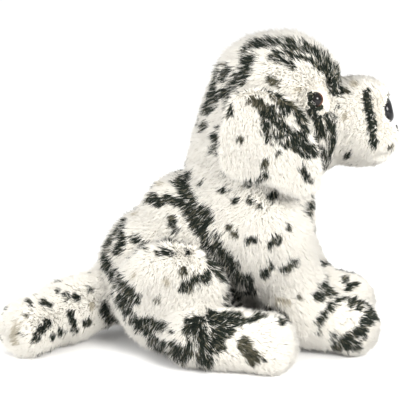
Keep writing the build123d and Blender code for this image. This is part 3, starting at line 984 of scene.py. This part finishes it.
def noise_material(name, stops, scale, rough, bump=0.0, spec=0.5, coat=0.0, detail=4.0):
    m = bpy.data.materials.new(name)
    m.use_nodes = True
    nt = m.node_tree
    b = nt.nodes["Principled BSDF"]
    tc = nt.nodes.new("ShaderNodeTexCoord")
    nz = nt.nodes.new("ShaderNodeTexNoise")
    nz.inputs["Scale"].default_value = scale
    nz.inputs["Detail"].default_value = detail
    nt.links.new(tc.outputs["Object"], nz.inputs["Vector"])
    rp = ramp(nt, stops)
    nt.links.new(nz.outputs["Fac"], rp.inputs["Fac"])
    nt.links.new(rp.outputs["Color"], b.inputs["Base Color"])
    b.inputs["Roughness"].default_value = rough
    b.inputs["Specular IOR Level"].default_value = spec
    if coat:
        b.inputs["Coat Weight"].default_value = coat
        b.inputs["Coat Roughness"].default_value = 0.04
    if bump:
        bp = nt.nodes.new("ShaderNodeBump")
        bp.inputs["Strength"].default_value = bump
        bp.inputs["Distance"].default_value = 0.0006
        nt.links.new(nz.outputs["Fac"], bp.inputs["Height"])
        nt.links.new(bp.outputs["Normal"], b.inputs["Normal"])
    return m


def eye_material(side_):
    """Black pupil, amber-brown iris, black rim; by distance from the eye's axis. The amber iris shows only as a
    crescent on one side and is black elsewhere: painted light standing in for light focused through the clear dome.
    """
    m = bpy.data.materials.new("eye_" + ("left" if side_ > 0 else "right"))
    m.use_nodes = True
    nt = m.node_tree
    b = nt.nodes["Principled BSDF"]
    tc = nt.nodes.new("ShaderNodeTexCoord")
    ob = find_node("eye_" + ("left" if side_ > 0 else "right"))
    inv = ob.matrix_world.inverted() if ob else Matrix.Identity(4)
    d = (inv.to_3x3() @ Vector((EYE_D[0], EYE_D[1] * side_, EYE_D[2]))).normalized()
    c = inv @ Vector(((EYE_C[0] + X0) * 0.001, EYE_C[1] * side_ * 0.001, EYE_C[2] * 0.001))
    # distance from the axis through c along d
    sub = nt.nodes.new("ShaderNodeVectorMath"); sub.operation = "SUBTRACT"
    sub.inputs[1].default_value = c
    nt.links.new(tc.outputs["Object"], sub.inputs[0])
    cr = nt.nodes.new("ShaderNodeVectorMath"); cr.operation = "CROSS_PRODUCT"
    cr.inputs[1].default_value = d
    inward = (inv.to_3x3() @ Vector((0.66, -0.72 * side_, -0.10))).normalized()
    sub2 = nt.nodes.new("ShaderNodeVectorMath"); sub2.operation = "SUBTRACT"
    sub2.inputs[1].default_value = c - inward * (0.35 * 0.00675)      # the pupil looks a little outward
    nt.links.new(tc.outputs["Object"], sub2.inputs[0])
    nt.links.new(sub2.outputs[0], cr.inputs[0])
    ln = nt.nodes.new("ShaderNodeVectorMath"); ln.operation = "LENGTH"
    nt.links.new(cr.outputs[0], ln.inputs[0])
    mul = nt.nodes.new("ShaderNodeMath"); mul.operation = "MULTIPLY"
    mul.inputs[1].default_value = 1000.0 / 6.75 / 1.4
    nt.links.new(ln.outputs["Value"], mul.inputs[0])
    rp = ramp(nt, [(0.0, (0.003, 0.002, 0.002)), (0.29, (0.003, 0.002, 0.002)), (0.36, (0.055, 0.012, 0.004)),
                   (0.52, (0.12, 0.030, 0.008)), (0.70, (0.09, 0.021, 0.006)), (0.84, (0.02, 0.006, 0.003)),
                   (1.0, (0.003, 0.002, 0.002))])
    nt.links.new(mul.outputs[0], rp.inputs["Fac"])
    # painted light: this mask keeps the amber iris only on the side towards inward and leaves the rest black,
    # standing in for light focused through the clear dome
    dt = nt.nodes.new("ShaderNodeVectorMath"); dt.operation = "DOT_PRODUCT"
    dt.inputs[1].default_value = inward
    nt.links.new(sub.outputs[0], dt.inputs[0])
    mr = nt.nodes.new("ShaderNodeMapRange")
    mr.inputs["From Min"].default_value = -0.0012
    mr.inputs["From Max"].default_value = 0.0010
    nt.links.new(dt.outputs["Value"], mr.inputs["Value"])
    cm = nt.nodes.new("ShaderNodeMix")
    cm.data_type = "RGBA"
    cm.inputs["A"].default_value = (0.003, 0.002, 0.002, 1)
    nt.links.new(mr.outputs["Result"], cm.inputs["Factor"])
    nt.links.new(rp.outputs["Color"], cm.inputs["B"])
    nt.links.new(cm.outputs["Result"], b.inputs["Base Color"])
    b.inputs["Roughness"].default_value = 0.07
    b.inputs["Specular IOR Level"].default_value = 0.32
    return m


for s_, tag in ((1, "left"), (-1, "right")):
    set_material(f"eye_{tag}", eye_material(s_))
    set_material(f"eye_washer_{tag}", noise_material(f"washer_{tag}", [(0.3, (0.78, 0.78, 0.76)), (0.7, (0.84, 0.84, 0.82))],
                                                     900, 0.45))
set_material("nose", noise_material("nose_gloss", [(0.3, (0.004, 0.004, 0.005)), (0.7, (0.010, 0.010, 0.011))],
                                    700, 0.12, 0.15, 0.3))
set_material("nose_washer", noise_material("washer_n", [(0.3, (0.78, 0.78, 0.76)), (0.7, (0.84, 0.84, 0.82))], 900, 0.45))
set_material("mouth_stitch", noise_material("thread_black", [(0.35, (0.008, 0.008, 0.008)), (0.65, (0.035, 0.034, 0.032))],
                                            3500, 0.6, 0.8))
FIBRE = noise_material("fibre_fill", [(0.3, (0.80, 0.80, 0.79)), (0.7, (0.93, 0.93, 0.92))], 260, 0.9, 0.9, 0.1)
for n_, b_ in (("head_stuffing", "head"), ("torso_stuffing", "torso"), ("tail_stuffing", "tail"),
               ("front_leg_stuffing_left", "front_leg_left"), ("front_leg_stuffing_right", "front_leg_right"),
               ("hind_leg_stuffing_left", "hind_leg_left"), ("hind_leg_stuffing_right", "hind_leg_right")):
    fill_piece(n_, b_, FIBRE)
LINING = noise_material("lining_cloth", [(0.35, (0.72, 0.70, 0.64)), (0.65, (0.82, 0.80, 0.75))], 1800, 0.9, 0.5, 0.1)
for n_ in ("bean_pouch", "neck_disc"):
    set_material(n_, LINING)
set_material("bean_fill", noise_material("pellets", [(0.3, (0.62, 0.62, 0.60)), (0.7, (0.78, 0.78, 0.76))], 500, 0.5, 1.0))

# ------------------------------------------------------------------ stage, light, camera
def floor():
    me = bpy.data.meshes.new("floor")
    s = 6.0
    me.from_pydata([(-s, -s, 0), (s, -s, 0), (s, s, 0), (-s, s, 0)], [], [(0, 1, 2, 3)])
    ob = bpy.data.objects.new("floor", me)
    bpy.context.scene.collection.objects.link(ob)
    m = bpy.data.materials.new("floor_white")
    m.use_nodes = True
    b = m.node_tree.nodes["Principled BSDF"]
    b.inputs["Base Color"].default_value = (0.97, 0.97, 0.97, 1)
    b.inputs["Roughness"].default_value = 0.9
    b.inputs["Specular IOR Level"].default_value = 0.1
    me.materials.append(m)
    ob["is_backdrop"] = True


floor()


def area_light(name, loc, target, size, power, color=(1, 1, 1)):
    l = bpy.data.lights.new(name, "AREA")
    l.shape = "DISK"; l.size = size; l.energy = power; l.color = color
    o = bpy.data.objects.new(name, l)
    o.location = loc
    v = Vector(target) - Vector(loc)
    o.rotation_euler = v.to_track_quat("-Z", "Y").to_euler()
    bpy.context.scene.collection.objects.link(o)


area_light("key", (0.75, -1.30, 0.85), (0.02, 0, 0.12), 0.7, 31, (1.0, 0.985, 0.955))
area_light("fill", (-1.2, -1.1, 0.6), (0, 0, 0.12), 1.2, 14, (1.0, 0.995, 0.985))
area_light("back", (0.2, 1.3, 1.2), (0, 0, 0.15), 1.2, 1.5)
w = bpy.data.worlds.new("studio")
bpy.context.scene.world = w
w.use_nodes = True
w.node_tree.nodes["Background"].inputs["Color"].default_value = (1.0, 1.0, 1.0, 1)
w.node_tree.nodes["Background"].inputs["Strength"].default_value = 1.06

cam = bpy.data.cameras.new("camera")
cam.sensor_width = 36.0
cam.lens = FOC / 400.0 * 36.0
co = bpy.data.objects.new("camera", cam)
bpy.context.scene.collection.objects.link(co)
R = Matrix(((cam_r[0], cam_u[0], -cam_d[0]), (cam_r[1], cam_u[1], -cam_d[1]), (cam_r[2], cam_u[2], -cam_d[2])))
co.matrix_world = Matrix.Translation(Vector(cam_c * 0.001)) @ R.to_4x4()
bpy.context.scene.camera = co

bpy.context.scene.view_settings.view_transform = "Standard"

BOUNDS_AT_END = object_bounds()


def plain(b):
    try:
        return [[float(x) for x in v] for v in b]
    except TypeError:
        return [float(x) for x in b]


{"at_load": plain(BOUNDS_AT_LOAD), "at_end": plain(BOUNDS_AT_END)}
